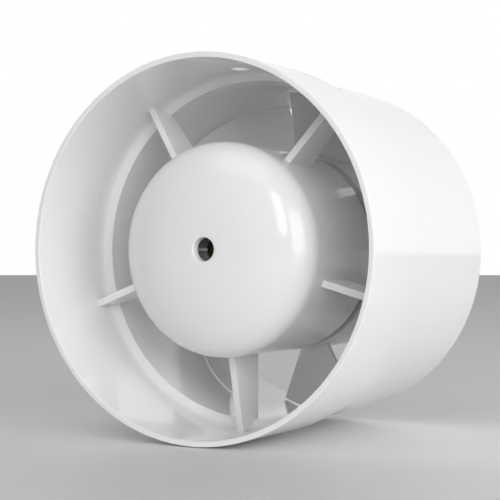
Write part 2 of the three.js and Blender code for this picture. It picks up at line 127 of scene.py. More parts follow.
class Finish:
    """One material: its node tree, its shader and the object coordinates."""

    def __init__(self, name):
        self.material = bpy.data.materials.new(name)
        self.material.use_nodes = True
        self.tree = self.material.node_tree
        self.shader = self.tree.nodes["Principled BSDF"]
        self.place = self.node("TexCoord", output="Object")

    def node(self, kind, settings=None, inputs=None, output=0):
        """Adds a node: its settings first, then the values or links of its sockets."""
        node = self.tree.nodes.new("ShaderNode" + kind)
        for key, value in (settings or {}).items():
            if key == "stops":
                for stop, (position, colour) in zip(node.color_ramp.elements, value):
                    stop.position = position
                    stop.color = colour
            else:
                setattr(node, key, value)
        for key, value in (inputs or {}).items():
            self.feed(node.inputs[key], value)
        return Flow(self.tree, node.outputs[output])

    def feed(self, socket, value):
        """Links a shader value to a socket, or sets a plain number or colour on it."""
        if isinstance(value, Flow):
            self.tree.links.new(value.socket, socket)
        else:
            socket.default_value = value

    def set(self, **values):
        """Feeds the shader's own sockets, named with _ for a space."""
        for key, value in values.items():
            self.feed(self.shader.inputs[key.replace("_", " ")], value)
        return self

    def speckle(self, scale, detail=2.0, roughness=0.5, squeeze=(1.0, 1.0, 1.0)):
        """Noise on the object's own coordinates, about 0 to 1."""
        stretched = self.node("Mapping", inputs={"Vector": self.place, "Scale": squeeze})
        return self.node("TexNoise", inputs={
            "Vector": stretched, "Scale": scale, "Detail": detail, "Roughness": roughness})

    def blend(self, factor, first, second):
        """A colour between two colours."""
        return self.node("Mix", {"data_type": "RGBA"}, {0: factor, 6: first, 7: second}, output=2)

    def relief(self, height, strength, distance):
        """A bump from a height, sent to the shader's normal."""
        bump = self.node("Bump", inputs={"Height": height, "Strength": strength, "Distance": distance})
        return self.set(Normal=bump)


def white_moulding(name, shade, gloss):
    """Injection-moulded white ABS: faint tone drift, a polished skin and long flow waves."""
    finish = Finish(name)
    drift = finish.speckle(18.0, 3.0)
    grain = finish.speckle(2600.0, 1.0)
    waves = finish.speckle(40.0, 1.0)
    dark = (shade * 0.985, shade * 0.985, shade * 0.983, 1.0)
    light = (shade, shade, shade * 0.999, 1.0)
    finish.set(Base_Color=finish.blend(drift, dark, light))
    finish.set(Roughness=(drift * 0.05 + grain * 0.02 + gloss).clamped())
    finish.set(IOR=1.5, Specular_IOR_Level=0.5)
    return finish.relief(grain * 0.02 + waves * 0.6, 0.05, 0.00008)


def piece(name, bm, finish, body, stands_for):
    """Turns a bmesh into a finished piece on its body, in place of a node of the frame."""
    mesh = bpy.data.meshes.new(name)
    bm.to_mesh(mesh)
    bm.free()
    thing = bpy.data.objects.new(name, mesh)
    bpy.context.scene.collection.objects.link(thing)
    mesh.materials.append(finish.material)
    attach(thing, body)
    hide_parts(stands_for)
    return thing


def station(distance):
    """The Y value at a distance in millimetres behind the front rim."""
    return front_y + distance * MM


def revolved(outline, steps):
    """Spins a closed outline of (radius, station) in millimetres about the fan axis."""
    bm = bmesh.new()
    points = [bm.verts.new((radius * MM, station(along), 0.0)) for radius, along in outline]
    edges = [bm.edges.new((a, b)) for a, b in zip(points, points[1:] + points[:1])]
    bmesh.ops.spin(bm, geom=points + edges, cent=(0, 0, 0), axis=(0, 1, 0),
                   angle=2 * math.pi, steps=steps, use_merge=True)
    bmesh.ops.remove_doubles(bm, verts=bm.verts, dist=1e-7)
    bmesh.ops.recalc_face_normals(bm, faces=bm.faces)
    return bm


def rounded(outline, radius, steps=3):
    """An outline with its sharp corners turned into small arcs."""
    result = []
    count = len(outline)
    for i, corner in enumerate(outline):
        corner = Vector(corner)
        before = Vector(outline[i - 1]) - corner
        after = Vector(outline[(i + 1) % count]) - corner
        turn = math.pi - before.angle(after)
        if turn < math.radians(25):
            result.append(tuple(corner))
            continue
        reach = min(radius * math.tan(turn / 2), before.length * 0.45, after.length * 0.45)
        start = corner + before.normalized() * reach
        end = corner + after.normalized() * reach
        for k in range(steps + 1):
            t = k / steps
            result.append(tuple(start * (1 - t) ** 2 + corner * 2 * t * (1 - t) + end * t ** 2))
    return result


def smooth_shaded(thing, degrees):
    """Smooth shading that keeps edges sharper than an angle and large faces even."""
    for face in thing.data.polygons:
        face.use_smooth = True
    thing.data.set_sharp_from_angle(angle=math.radians(degrees))
    even = thing.modifiers.new("even_normals", "WEIGHTED_NORMAL")
    even.keep_sharp = True
    even.weight = 100
    return thing


def ledge_line(steps):
    """The ledge from the front bore to the throat: a fillet, then a short cone."""
    start, bend, end = Vector((TUBE_BORE, 25.8)), Vector((TUBE_BORE, 29.39)), Vector((49.0, 30.15))
    fillet = [tuple(start * (1 - t) ** 2 + bend * 2 * t * (1 - t) + end * t ** 2)
              for t in (k / steps for k in range(steps + 1))]
    return fillet + [(THROAT_RADIUS + 0.15, 31.57), (THROAT_RADIUS + 0.03, 31.7), (THROAT_RADIUS, 31.95)]


def combined(thing, other, operation="DIFFERENCE"):
    """Cuts a bmesh out of a finished piece, or joins it on."""
    mesh = bpy.data.meshes.new("tool")
    other.to_mesh(mesh)
    other.free()
    tool = bpy.data.objects.new("tool", mesh)
    bpy.context.scene.collection.objects.link(tool)
    modifier = thing.modifiers.new("combined", "BOOLEAN")
    modifier.operation = operation
    modifier.solver = "EXACT"
    modifier.object = tool
    bpy.context.view_layer.update()
    graph = bpy.context.evaluated_depsgraph_get()
    result = bpy.data.meshes.new_from_object(thing.evaluated_get(graph))
    thing.modifiers.clear()
    thing.data = result
    bpy.data.objects.remove(tool)


def drill(radius, depth, along, up, segments):
    """A drill that stands upright over the axis, its middle at a station and a height."""
    bm = bmesh.new()
    bmesh.ops.create_cone(bm, cap_ends=True, segments=segments, radius1=radius * MM,
                          radius2=radius * MM, depth=depth * MM)
    bmesh.ops.translate(bm, verts=bm.verts, vec=(0.0, station(along), up * MM))
    return bm


def duct_casing():
    length = (rear_y - front_y) / MM
    outside = rounded([
        (TUBE_BORE, 0.0), (TUBE_RADIUS, 0.0), (TUBE_RADIUS, TAPER_FRONT), (SPIGOT_RADIUS, TAPER_REAR),
        (SPIGOT_END_RADIUS, length), (SPIGOT_END_BORE, length),
    ], 0.25)
    bm = revolved(outside + ledge_line(8)[::-1], 240)
    thing = piece("duct_tube", bm, tube_finish, "casing", "duct_casing")
    combined(thing, drill(CABLE_HOLE_RADIUS, 8, CABLE_HOLE_STATION, 50.3, 48))
    return smooth_shaded(thing, 32)


tube_finish = white_moulding("white_abs_tube", 0.91, 0.07)
duct_casing()

# ---------------------------------------------------------------------------
# Motor housing
# A domed cup and five flat vanes moulded together in the same white ABS. The vanes
# carry the cup in the middle of the tube. The dome is pierced in the middle, and two
# blind bosses behind it take the screws that hold the motor.

CUP_RADIUS = 29.1
CUP_FRONT = 5.1
CUP_SHOULDER = 15.4
CUP_REAR = 48.5
CUP_WALL = 1.5
CROWN_POWER = 2.4
DOME_HOLE_RADIUS = 3.15
DOME_COLLAR_RADIUS = 5.5
DOME_COLLAR_REAR = 7.7
VANE_ANGLES = (270, 342, 54, 126, 198)
VANE_THICKNESS = 1.95
VANE_ROOT = 28.2
VANE_FRONT_AT_CUP = 19.87
VANE_FRONT_AT_TUBE = 25.15
VANE_REAR = 33.7
BOLT_CIRCLE = 23.6
SCREW_ANGLES = (135, 315)
BOSS_RADIUS = 3.2
BOSS_FRONT = 10.6
BOSS_REAR = 17.0
CLEARANCE_HOLE = 1.8
LEAD_HOLE_RADIUS = 2.4
LEAD_HOLE_STATION = 17.5
LEAD_HOLE_ANGLE = 18


def crown_line(radius, front, inner, steps):
    """The dome's outline from near the axis to the shoulder."""
    depth = CUP_SHOULDER - front
    first = math.asin((inner / radius) ** (CROWN_POWER / 2))
    line = []
    for k in range(steps + 1):
        angle = first + (math.pi / 2 - first) * k / steps
        reach = math.sin(angle) ** (2 / CROWN_POWER)
        rise = max(math.cos(angle), 0.0) ** (2 / CROWN_POWER)
        line.append((radius * reach, CUP_SHOULDER - depth * rise))
    return line


def housing_cup():
    """The cup with its crowned dome, and the collar round the hole in it."""
    inner = CUP_RADIUS - CUP_WALL
    hole = [
        (DOME_HOLE_RADIUS, DOME_COLLAR_REAR), (DOME_HOLE_RADIUS, CUP_FRONT + 0.4),
        (DOME_HOLE_RADIUS + 0.05, CUP_FRONT + 0.18), (DOME_HOLE_RADIUS + 0.17, CUP_FRONT + 0.06),
    ]
    outer_crown = crown_line(CUP_RADIUS, CUP_FRONT, DOME_HOLE_RADIUS + 0.35, 48)
    rim = [(CUP_RADIUS - 0.15, CUP_REAR), (inner - 0.15, CUP_REAR)]
    inner_crown = crown_line(inner, CUP_FRONT + CUP_WALL, DOME_COLLAR_RADIUS, 24)[::-1]
    collar = [(DOME_COLLAR_RADIUS, DOME_COLLAR_REAR)]
    return revolved(hole + outer_crown + rim + inner_crown + collar, 192)


def turned(bm, degrees):
    """Turns a bmesh about the fan axis, from +X towards +Z."""
    turn = Matrix.Rotation(-math.radians(degrees), 3, "Y")
    bmesh.ops.rotate(bm, verts=bm.verts, cent=(0, 0, 0), matrix=turn)
    return bm


def bar(radius, front, back, degrees=0.0, out=0.0, segments=32):
    """A round bar along the axis between two stations, out from the axis at an angle."""
    bm = bmesh.new()
    bmesh.ops.create_cone(bm, cap_ends=True, segments=segments, radius1=radius * MM,
                          radius2=radius * MM, depth=(back - front) * MM)
    bmesh.ops.rotate(bm, verts=bm.verts, cent=(0, 0, 0), matrix=Matrix.Rotation(math.pi / 2, 3, "X"))
    bmesh.ops.translate(bm, verts=bm.verts, vec=(out * MM, station((front + back) / 2), 0.0))
    return turned(bm, degrees)


def rounded_edges(bm, edges, width):
    """Bevels some edges of a bmesh into small rounds."""
    bmesh.ops.bevel(bm, geom=edges, offset=width * MM, affect="EDGES", segments=2, profile=0.5, material=-1)


def vane_blade(degrees):
    """A flat plate along the axis that runs from inside the cup's wall into the tube's wall."""
    bm = bmesh.new()
    outline = [(VANE_ROOT, VANE_FRONT_AT_CUP), (TUBE_BORE + 0.05, VANE_FRONT_AT_TUBE)]
    outline += [(r + 0.05, s) for r, s in ledge_line(4)[:-2]]
    outline += [(THROAT_RADIUS + 0.05, VANE_REAR), (VANE_ROOT, VANE_REAR)]
    half = VANE_THICKNESS / 2 * MM
    corners = [bm.verts.new((r * MM, station(s), -half)) for r, s in outline]
    face = bm.faces.new(corners)
    bmesh.ops.recalc_face_normals(bm, faces=[face])
    grown = bmesh.ops.extrude_face_region(bm, geom=[face])
    lifted = [v for v in grown["geom"] if isinstance(v, bmesh.types.BMVert)]
    bmesh.ops.translate(bm, verts=lifted, vec=(0.0, 0.0, 2 * half))
    bmesh.ops.recalc_face_normals(bm, faces=bm.faces)
    long_edges = [e for e in bm.edges if abs((e.verts[0].co - e.verts[1].co).normalized().z) < 0.1]
    rounded_edges(bm, long_edges, 0.15)
    return turned(bm, degrees)


def motor_housing():
    thing = piece("housing_cup", housing_cup(), tube_finish, "casing", "motor_housing")
    for degrees in VANE_ANGLES:
        combined(thing, vane_blade(degrees), "UNION")
    for degrees in SCREW_ANGLES:
        combined(thing, bar(BOSS_RADIUS, BOSS_FRONT, BOSS_REAR, degrees, BOLT_CIRCLE), "UNION")
        combined(thing, bar(CLEARANCE_HOLE, BOSS_FRONT + 0.3, BOSS_REAR + 1.0, degrees, BOLT_CIRCLE))
    lead_hole = drill(LEAD_HOLE_RADIUS, 6, LEAD_HOLE_STATION, CUP_RADIUS, 32)
    combined(thing, turned(lead_hole, LEAD_HOLE_ANGLE))
    return smooth_shaded(thing, 32)


motor_housing()

# ---------------------------------------------------------------------------
# Impeller
# Hub and seven cambered blades in one white moulding. The hub is a cap, open towards
# the motor, and its boss is pushed onto the shaft.

HUB_RADIUS = 29.1
HUB_INNER_RADIUS = 27.4
HUB_FRONT = 52.8
HUB_FLOOR = 76.2
HUB_REAR = 78.0
HUB_BOSS_RADIUS = 5.0
HUB_BOSS_BORE = 2.3
HUB_BOSS_FRONT = 53.5
BLADE_COUNT = 7
BLADE_ROOT = 28.2
BLADE_TIP = 46.5
BLADE_FRONT = 54.6
BLADE_DEPTH = 18.2
BLADE_LEAD_ANGLE = 90.3
BLADE_TURN = 39.6
BLADE_THICKNESS = 1.1


def hub_cap():
    """The open-fronted cap with its boss in the middle."""
    outline = rounded([
        (HUB_BOSS_RADIUS, HUB_BOSS_FRONT), (HUB_BOSS_RADIUS, HUB_FLOOR),
        (HUB_INNER_RADIUS, HUB_FLOOR), (HUB_INNER_RADIUS, HUB_FRONT),
        (HUB_RADIUS, HUB_FRONT), (HUB_RADIUS, HUB_REAR),
        (HUB_BOSS_BORE, HUB_REAR), (HUB_BOSS_BORE, HUB_BOSS_FRONT),
    ], 0.3)
    return revolved(outline, 160)


def blade_surface(along, across):
    """A point on a blade's face: along its chord from the leading edge, across from root to tip."""
    radius = BLADE_ROOT + (BLADE_TIP - BLADE_ROOT) * across
    inward = BLADE_TIP - radius
    lead_angle = math.radians(BLADE_LEAD_ANGLE) - 0.0029 * inward
    tail_angle = math.radians(BLADE_LEAD_ANGLE - BLADE_TURN)
    lead = BLADE_FRONT + 0.064 * inward
    tail = BLADE_FRONT + BLADE_DEPTH + 0.228 * inward
    angle = lead_angle + (tail_angle - lead_angle) * along
    place = lead + (tail - lead) * (0.5 * along + 0.5 * along * along)
    return Vector((radius * MM * math.cos(angle), station(place), radius * MM * math.sin(angle)))


def blade():
    """A grid bent to the blade's face, thickened, with its rim rounded."""
    bm = bmesh.new()
    bmesh.ops.create_grid(bm, x_segments=36, y_segments=14, size=0.5)
    for vertex in bm.verts:
        vertex.co = blade_surface(vertex.co.x + 0.5, vertex.co.y + 0.5)
    bmesh.ops.recalc_face_normals(bm, faces=bm.faces)
    bmesh.ops.solidify(bm, geom=bm.faces, thickness=BLADE_THICKNESS * MM)
    rim = [e for e in bm.edges if e.calc_face_angle(0.0) > math.radians(50)]
    rounded_edges(bm, rim, 0.15)
    return bm


def impeller():
    thing = piece("impeller_moulding", hub_cap(), impeller_finish, "rotor", "impeller")
    for k in range(BLADE_COUNT):
        combined(thing, turned(blade(), 360 * k / BLADE_COUNT), "UNION")
    return smooth_shaded(thing, 32)


impeller_finish = white_moulding("white_impeller_plastic", 0.87, 0.34)
impeller()

# ---------------------------------------------------------------------------
# Motor brackets
# Two die-cast zinc brackets clamp the stator between them. Each carries a bearing pocket
# in its middle: the front one on four arms, the rear one in a closed round shield.

POCKET_BACK = 22.0
POCKET_FACE = 12.6
POCKET_FLOOR = 17.8
POCKET_RADIUS = 8.0
POCKET_BORE = 6.7
SHAFT_HOLE_RADIUS = 2.6
STACK_FRONT = 25.0
STACK_REAR = 37.0
STACK_MIDDLE = (STACK_FRONT + STACK_REAR) / 2
SHIELD_RADIUS = 26.9
SHIELD_FRONT = 42.5
SHIELD_REAR = 44.0
POST_RADIUS = 3.0
CORNER_ANGLES = (45, 135, 225, 315)


def mirrored(distance):
    """The matching station on the other side of the stator's middle."""
    return STACK_FRONT + STACK_REAR - distance


def block(centre, size, degrees=0.0):
    """A box from its centre (x, station, z) and its sizes, turned about the axis."""
    bm = bmesh.new()
    bmesh.ops.create_cube(bm, size=1.0)
    bmesh.ops.scale(bm, verts=bm.verts, vec=Vector(size) * MM)
    bmesh.ops.translate(bm, verts=bm.verts, vec=(centre[0] * MM, station(centre[1]), centre[2] * MM))
    return turned(bm, degrees)


def softened(thing, width, harden=True):
    """Rounds a piece's sharp edges by a small width."""
    edge = thing.modifiers.new("edge_rounding", "BEVEL")
    edge.width = width * MM
    edge.segments = 2
    edge.limit_method = "ANGLE"
    edge.angle_limit = math.radians(40)
    edge.harden_normals = harden
    return thing


def cast_zinc():
    """Bare die-cast zinc: a cloudy grey skin with fine pits."""
    finish = Finish("die_cast_zinc")
    cloud = finish.speckle(140.0, 4.0)
    pits = finish.speckle(2200.0, 2.0)
    finish.set(Base_Color=finish.blend(cloud, (0.27, 0.275, 0.285, 1.0), (0.42, 0.425, 0.44, 1.0)))
    finish.set(Metallic=1.0, Roughness=(cloud * 0.25 + 0.38).clamped())
    return finish.relief(pits, 0.35, 0.00006)


zinc_finish = cast_zinc()


def front_bracket():
    """Four arms, each with a post on the stack's corner, round the bearing pocket."""
    casting = revolved(rounded([
        (SHAFT_HOLE_RADIUS, POCKET_BACK), (SHAFT_HOLE_RADIUS, POCKET_FLOOR),
        (POCKET_BORE, POCKET_FLOOR), (POCKET_BORE, POCKET_FACE),
        (POCKET_RADIUS, POCKET_FACE), (POCKET_RADIUS, POCKET_BACK),
    ], 0.25), 64)
    thing = piece("bracket_casting_front", casting, zinc_finish, "casing", "front_bracket")
    for degrees in CORNER_ANGLES:
        arm = block((15.5, 19.75, 0.0), (16.2, 2.5, 5.0), degrees)
        combined(thing, arm, "UNION")
        combined(thing, bar(POST_RADIUS, 18.5, 24.7, degrees, BOLT_CIRCLE), "UNION")
        combined(thing, bar(CLEARANCE_HOLE, 17.0, 26.0, degrees, BOLT_CIRCLE))
    return softened(smooth_shaded(thing, 35), 0.2)


def rear_shield():
    """A closed round plate with the same pocket and posts, facing the other way."""
    back, face, floor = mirrored(POCKET_BACK), mirrored(POCKET_FACE), mirrored(POCKET_FLOOR)
    casting = revolved(rounded([
        (SHAFT_HOLE_RADIUS, back), (POCKET_RADIUS, back), (POCKET_RADIUS, SHIELD_FRONT),
        (SHIELD_RADIUS, SHIELD_FRONT), (SHIELD_RADIUS, SHIELD_REAR), (POCKET_RADIUS, SHIELD_REAR),
        (POCKET_RADIUS, face), (POCKET_BORE, face), (POCKET_BORE, floor), (SHAFT_HOLE_RADIUS, floor),
    ], 0.25), 96)
    thing = piece("bracket_casting_rear", casting, zinc_finish, "casing", "rear_end_shield")
    for degrees in CORNER_ANGLES:
        combined(thing, bar(POST_RADIUS, 37.3, 43.0, degrees, BOLT_CIRCLE), "UNION")
        combined(thing, bar(CLEARANCE_HOLE, 36.0, 46.0, degrees, BOLT_CIRCLE))
    return softened(smooth_shaded(thing, 35), 0.2)


front_bracket()
rear_shield()

# ---------------------------------------------------------------------------
# Stator core
# A stack of half-millimetre steel stampings under a thin amber-grey varnish. Its four
# poles reach inwards to the rotor; the brackets' posts press on its corners.

SHEET_PITCH = 0.0005


def varnished_laminations(name, dark, light):
    """Stamped steel sheets seen edge-on: one fine line to each sheet, blotchy varnish over them."""
    finish = Finish(name)
    split = finish.node("SeparateXYZ", inputs={"Vector": finish.place}, output=1)
    wave = finish.node("Math", {"operation": "PINGPONG"}, {0: split, 1: SHEET_PITCH / 2})
    sheets = wave * (2 / SHEET_PITCH)
    stops = [(0.0, (0, 0, 0, 1)), (0.35, (1, 1, 1, 1))]
    groove = finish.node("ValToRGB", {"stops": stops}, {"Fac": sheets})
    varnish = finish.speckle(260.0, 4.0)
    steel = finish.blend(varnish, dark, light)
    finish.set(Base_Color=finish.blend(groove, (0.03, 0.03, 0.032, 1.0), steel))
    finish.set(Metallic=(varnish * 0.3 + 0.6).clamped(), Roughness=(varnish * 0.3 + 0.3).clamped())
    return finish.relief(sheets, 0.4, 0.00008)


def dressed(name, finish, rounding=0.0):
    """Gives a modelled node its finish and, where it has one, a small edge rounding."""
    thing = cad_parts[name]
    thing.data.materials.clear()
    thing.data.materials.append(finish.material)
    if rounding:
        softened(thing, rounding, harden=False)


lamination_finish = varnished_laminations(
    "varnished_laminations", (0.16, 0.155, 0.145, 1.0), (0.28, 0.28, 0.28, 1.0))
dressed("stator_core", lamination_finish)

# ---------------------------------------------------------------------------
# Coils
# Four nylon bobbins slid over the poles, each wound with lacquered copper wire. Each
# winding fills its bobbin between the two flanges.

WIRE_RADIUS = 0.19
COIL_ROWS = 8
COIL_LAYERS = 2
COIL_INNER = 14.1
COIL_DEPTH = 3.1
POLE_HALF_LENGTH = 6.2
POLE_HALF_WIDTH = 3.7
POLE_ANGLES = (0, 90, 180, 270)


def natural_nylon(name, shade):
    """Unpigmented nylon: milky, slightly yellow, cloudy in depth."""
    finish = Finish(name)
    milk = finish.speckle(90.0, 3.0)
    grain = finish.speckle(1500.0, 2.0)
    deep = (shade[0] * 0.88, shade[1] * 0.86, shade[2] * 0.78, 1.0)
    finish.set(Base_Color=finish.blend(milk, deep, (*shade, 1.0)))
    finish.set(Roughness=(milk * 0.15 + 0.38).clamped(), IOR=1.53)
    return finish.relief(grain, 0.15, 0.00004)


def lacquered_copper():
    """Enamelled winding wire: warm copper under clear lacquer, every few turns a little different."""
    finish = Finish("lacquered_copper")
    turns = finish.speckle(700.0, 2.0)
    burnish = finish.speckle(120.0, 3.0)
    tone = finish.blend(turns, (0.42, 0.15, 0.055, 1.0), (0.70, 0.31, 0.14, 1.0))
    finish.set(Base_Color=finish.blend(burnish, tone, (0.58, 0.24, 0.10, 1.0)))
    finish.set(Metallic=1.0, Roughness=(burnish * 0.2 + 0.2).clamped())
    finish.set(Coat_Weight=0.6, Coat_Roughness=0.12)
    return finish.relief(turns, 0.1, 0.00002)


def swept(bm, path, radius, sides, closed):
    """Sweeps a round section along a path of points and adds it to a bmesh."""
    count = len(path)
    rings = []
    for i, here in enumerate(path):
        ahead = path[(i + 1) % count] if closed or i + 1 < count else here
        behind = path[i - 1] if closed or i > 0 else here
        along = (ahead - behind).normalized()
        across = along.cross(Vector((0.31, 0.2, 0.93))).normalized()
        upright = along.cross(across)
        rings.append([bm.verts.new(here + radius * (across * math.cos(a) + upright * math.sin(a)))
                      for a in (2 * math.pi * k / sides for k in range(sides))])
    for i in range(count if closed else count - 1):
        first, second = rings[i], rings[(i + 1) % count]
        for k in range(sides):
            bm.faces.new((first[k], first[(k + 1) % sides], second[(k + 1) % sides], second[k]))
    if not closed:
        bm.faces.new(rings[0][::-1])
        bm.faces.new(rings[-1])


def wire_loop(out, half_length, half_width, corner):
    """A rounded rectangle about a pole, at a distance out from the fan axis."""
    path = []
    for quarter, (sy, sz) in enumerate([(1, 1), (-1, 1), (-1, -1), (1, -1)]):
        for k in range(7):
            angle = math.pi / 2 * (quarter + k / 6)
            y = sy * (half_length - corner) + corner * math.cos(angle)
            z = sz * (half_width - corner) + corner * math.sin(angle)
            path.append(Vector((out * MM, station(STACK_MIDDLE) + y * MM, z * MM)))
    return path


def coil_winding(number, degrees):
    """The outer turns of wire one by one, over a block that stands for the turns beneath."""
    turns = bmesh.new()
    for row in range(COIL_ROWS):
        out = COIL_INNER + WIRE_RADIUS + (COIL_DEPTH - 2 * WIRE_RADIUS) * row / (COIL_ROWS - 1)
        for layer in range(COIL_LAYERS):
            grown = 2.0 + 1.0 * layer
            loop = wire_loop(out, POLE_HALF_LENGTH + grown, POLE_HALF_WIDTH + grown, 1.2 + grown * 0.4)
            swept(turns, loop, WIRE_RADIUS * MM, 8, True)
    bmesh.ops.recalc_face_normals(turns, faces=turns.faces)
    node = f"coil_winding_{number}"
    turned(turns, degrees)
    outer = piece(f"coil_turns_{number}", turns, copper_finish, "casing", node)
    for face in outer.data.polygons:
        face.use_smooth = True
    middle = (COIL_INNER + COIL_DEPTH / 2, STACK_MIDDLE, 0.0)
    core = block(middle, (2.75, 18.4, 13.4), degrees)
    inner = piece(f"coil_core_{number}", core, copper_finish, "casing", node)
    combined(inner, block(middle, (6.0, 14.8, 9.8), degrees))


bobbin_finish = natural_nylon("bobbin_nylon", (0.80, 0.76, 0.64))
copper_finish = lacquered_copper()
for number, degrees in enumerate(POLE_ANGLES, 1):
    dressed(f"coil_bobbin_{number}", bobbin_finish, 0.2)
    coil_winding(number, degrees)

# ---------------------------------------------------------------------------
# Shading bands
# Short copper bands on one tip of every pole, at both ends of the stack. They delay the
# field there and so give the motor its direction of turning.

def bare_copper():
    """Unlacquered copper: bright where it was sheared, brown where it has tarnished."""
    finish = Finish("bare_copper")
    tarnish = finish.speckle(900.0, 4.0)
    finish.set(Base_Color=finish.blend(tarnish, (0.30, 0.12, 0.06, 1.0), (0.72, 0.36, 0.20, 1.0)))
    finish.set(Metallic=1.0, Roughness=(tarnish * 0.35 + 0.2).clamped())
    return finish.relief(tarnish, 0.12, 0.00003)


band_finish = bare_copper()
for number in range(1, 5):
    dressed(f"shading_band_front_{number}", band_finish, 0.12)
    dressed(f"shading_band_rear_{number}", band_finish, 0.12)

# ---------------------------------------------------------------------------
# Bearings
# At each end a barrel-shaped bush of oil-filled sintered bronze sits in the bracket's
# pocket, with an oiled felt ring over it and a four-fingered spring ring on the outside.

BUSH_RADIUS = 4.8
BUSH_BARREL = 0.7
BUSH_BORE = 2.3
BUSH_FRONT = 14.3
BUSH_REAR = 17.5
FELT_INNER = 3.6
FELT_OUTER = 6.4
FELT_FRONT = 12.7
FELT_REAR = 14.0


def sintered_bronze():
    """Pressed bronze powder: matt brown-gold with dark open pores."""
    finish = Finish("sintered_bronze")
    pores = finish.node("TexVoronoi", {"feature": "F1"}, {"Vector": finish.place, "Scale": 2600.0})
    cloud = finish.speckle(300.0, 3.0)
    metal = finish.blend(cloud, (0.13, 0.10, 0.065, 1.0), (0.27, 0.21, 0.135, 1.0))
    finish.set(Base_Color=finish.blend((pores * 2.2).clamped(), (0.06, 0.04, 0.02, 1.0), metal))
    finish.set(Metallic=0.9, Roughness=(cloud * 0.2 + 0.4).clamped())
    return finish.relief(pores, 0.3, 0.00006)


def oiled_felt():
    """Pressed wool fibres, grey with oil."""
    finish = Finish("oiled_felt")
    fibres = finish.speckle(1400.0, 6.0, 0.7, squeeze=(1.0, 2.5, 0.6))
    soak = finish.speckle(180.0, 2.0)
    wool = finish.blend(fibres, (0.13, 0.127, 0.12, 1.0), (0.42, 0.41, 0.39, 1.0))
    finish.set(Base_Color=finish.blend(soak, wool, (0.24, 0.235, 0.22, 1.0)))
    finish.set(Roughness=(fibres * 0.3 + 0.65).clamped())
    return finish.relief(fibres, 0.8, 0.00012)


def spring_steel():
    """Rolled spring strip, tinned to a pale satin skin with fine rolling lines."""
    finish = Finish("spring_steel")
    rolling = finish.speckle(900.0, 3.0, squeeze=(1.0, 1.0, 0.05))
    heat = finish.speckle(160.0, 2.0)
    finish.set(Base_Color=finish.blend(heat, (0.84, 0.84, 0.85, 1.0), (0.93, 0.93, 0.93, 1.0)))
    finish.set(Metallic=0.25, Roughness=(rolling * 0.25 + 0.3).clamped())
    return finish.relief(rolling, 0.15, 0.00002)


def ring_section(inner, outer, front, back):
    """The four corners of a plain ring's section."""
    return [(inner, front), (outer, front), (outer, back), (inner, back)]


def bearing(name, front, back, stands_for):
    """A bush with a barrel-shaped outside and a chamfered bore."""
    middle, half = (front + back) / 2, (back - front) / 2
    barrel = [(BUSH_RADIUS - BUSH_BARREL * (k / 8) ** 2, middle + half * k / 8) for k in range(-8, 9)]
    mouth = BUSH_BORE + 0.2
    bore = [(mouth, back), (BUSH_BORE, back - 0.2), (BUSH_BORE, front + 0.2), (mouth, front)]
    thing = piece(name, revolved(barrel + bore, 64), bronze_finish, "casing", stands_for)
    return smooth_shaded(thing, 40)


def felt_ring(name, front, back, stands_for):
    outline = rounded(ring_section(FELT_INNER, FELT_OUTER, front, back), 0.35)
    thing = piece(name, revolved(outline, 64), felt_finish, "casing", stands_for)
    return smooth_shaded(thing, 60)


bronze_finish = sintered_bronze()
felt_finish = oiled_felt()
spring_finish = spring_steel()
bearing("bronze_bush_front", BUSH_FRONT, BUSH_REAR, "front_bearing")
bearing("bronze_bush_rear", mirrored(BUSH_REAR), mirrored(BUSH_FRONT), "rear_bearing")
felt_ring("felt_ring_front", FELT_FRONT, FELT_REAR, "front_oil_felt")
felt_ring("felt_ring_rear", mirrored(FELT_REAR), mirrored(FELT_FRONT), "rear_oil_felt")
dressed("front_bearing_clip", spring_finish, 0.08)
dressed("rear_bearing_clip", spring_finish, 0.08)

# ---------------------------------------------------------------------------
# Bolts, nuts, screws and washers
# Two long zinc-plated bolts and nuts clamp the brackets on the stator. Two longer screws
# go through the other corners into the dome's bosses, with a rubber washer between.

THREAD_RADIUS = 1.5
THREAD_ROOT = 1.22
THREAD_PITCH = 0.6
THREAD_TURNS = 12
HEAD_FRONT = 44.3
HEAD_REAR = 46.3
HEAD_RADIUS = 2.7
NUT_RADIUS = 3.1
NUT_FRONT = 16.0
NUT_REAR = 18.2
WASHER_RADIUS = 3.2
WASHER_FRONT = 17.3
WASHER_REAR = 18.2
BOLT_TIP = 15.6
SCREW_TIP = 11.2
BOLT_ANGLES = (45, 225)


def plated_steel():
    """Zinc-plated steel with fine turning marks and a faint bloom."""
    finish = Finish("zinc_plated_steel")
    marks = finish.speckle(1800.0, 3.0, squeeze=(0.2, 1.0, 0.2))
    bloom = finish.speckle(220.0, 3.0)
    finish.set(Base_Color=finish.blend(bloom, (0.52, 0.52, 0.54, 1.0), (0.70, 0.70, 0.71, 1.0)))
    finish.set(Metallic=1.0, Roughness=(bloom * 0.2 + 0.22).clamped())
    return finish.relief(marks, 0.2, 0.00003)


def black_rubber():
    """Moulded black rubber with a dusty bloom."""
    finish = Finish("black_rubber")
    dust = finish.speckle(500.0, 4.0)
    finish.set(Base_Color=finish.blend(dust, (0.012, 0.012, 0.013, 1.0), (0.05, 0.05, 0.052, 1.0)))
    finish.set(Roughness=(dust * 0.3 + 0.55).clamped())
    return finish.relief(dust, 0.25, 0.00005)


def shifted(bm, degrees):
    """Moves a bmesh from the axis out to the bolt circle."""
    angle = math.radians(degrees)
    out = BOLT_CIRCLE * MM
    bmesh.ops.translate(bm, verts=bm.verts, vec=(out * math.cos(angle), 0.0, out * math.sin(angle)))
    return bm


